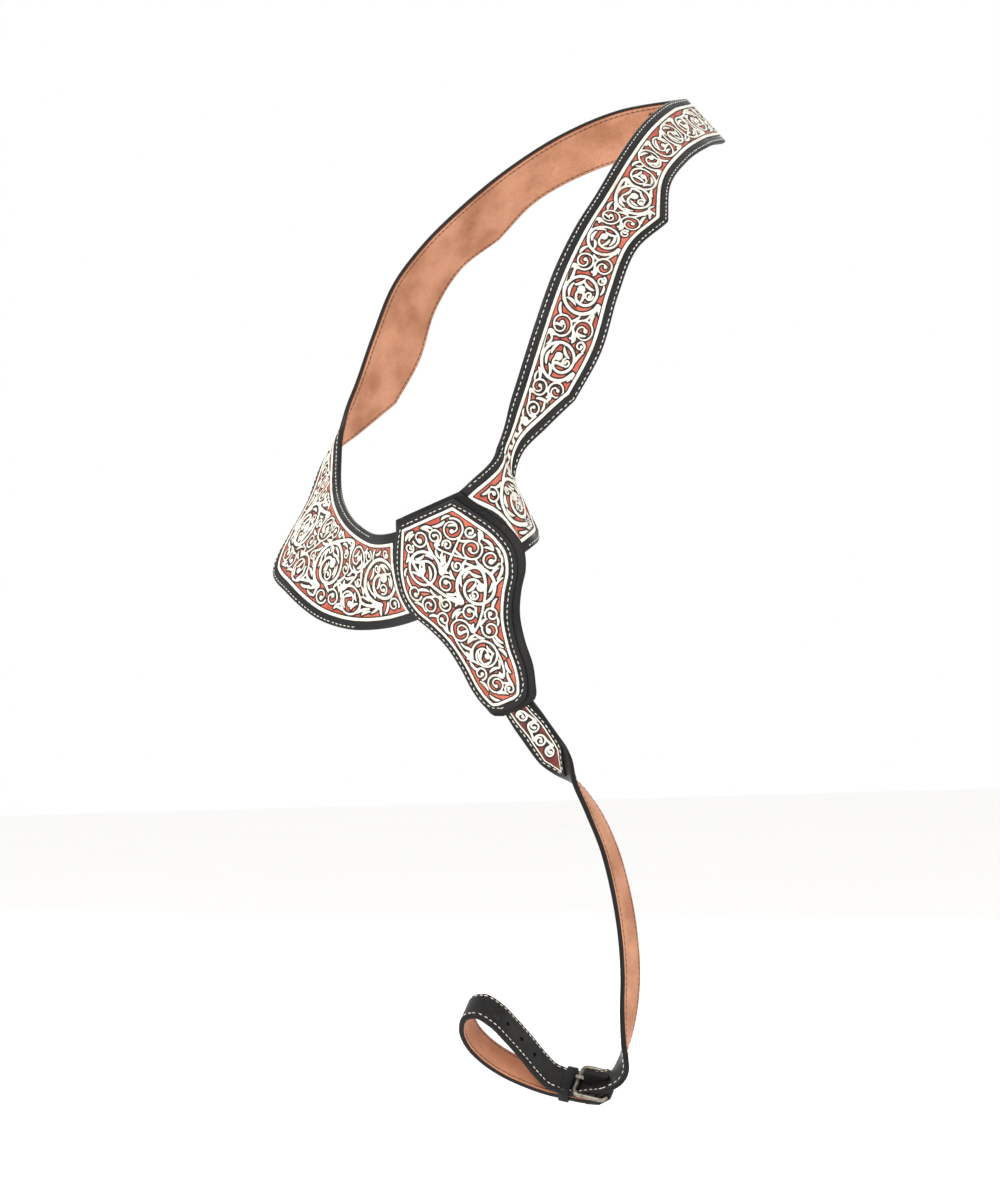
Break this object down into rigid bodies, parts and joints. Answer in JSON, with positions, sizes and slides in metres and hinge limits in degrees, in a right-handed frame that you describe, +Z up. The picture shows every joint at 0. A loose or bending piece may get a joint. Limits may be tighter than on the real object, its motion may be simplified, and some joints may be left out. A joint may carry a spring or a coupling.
{
  "type": "horse breastplate",
  "caption": "Tooled leather breastplate for a horned riding saddle: scalloped neck loop, chest shield, and a hanging strap with a buckled girth loop.",
  "frame": {"origin": "where the crown of the neck loop rests on the saddle neck, behind the horn", "axes": "+Z up, -Y towards the horse's head, +X to the horse's near side"},
  "size_m": [0.3576, 0.3865, 0.8899],
  "materials": {
    "tooled_leather": "carved scrolls, satin",
    "tan_leather": "smooth natural flesh side",
    "black_leather": "dyed, slight sheen",
    "tab_leather": "carved scrolls, satin",
    "nickel": "dull nickel plate, worn"
  },
  "bodies": {
    "collar": {"near_arm_face": "tooled_leather", "near_arm_lining": "tan_leather", "far_arm_face": "tooled_leather", "far_arm_lining": "tan_leather", "crown_patch": "tan_leather", "shield_base": "black_leather", "shield_face": "tooled_leather", "shield_lining": "tan_leather", "anchor_face": "black_leather", "anchor_lining": "tan_leather", "anchor_tab": "tab_leather"},
    "girth_strap": {"strap_face": "black_leather", "strap_lining": "tan_leather", "strap_tab": "tab_leather", "strap_chape": "black_leather", "buckle_frame": "nickel"},
    "keeper": {"strap_keeper": "black_leather"},
    "tongue": {"buckle_tongue": "nickel"}
  },
  "joints": [
    {"name": "strap_swing", "type": "hinge", "parent": "collar", "child": "girth_strap", "pos_m": [0.11832, -0.26856, -0.545], "axis": [0.4643, 0.6624, 0.5879], "range_deg": [-20, 20]},
    {"name": "keeper_slide", "type": "slide", "parent": "girth_strap", "child": "keeper", "axis": [0.7287, 0.6541, -0.2028], "range_m": [-0.001, 0.002]},
    {"name": "tongue_turn", "type": "hinge", "parent": "girth_strap", "child": "tongue", "pos_m": [0.15862, -0.21821, -0.85184], "axis": [-0.4215, 0.6618, 0.6199], "range_deg": [0, 20]}
  ]
}
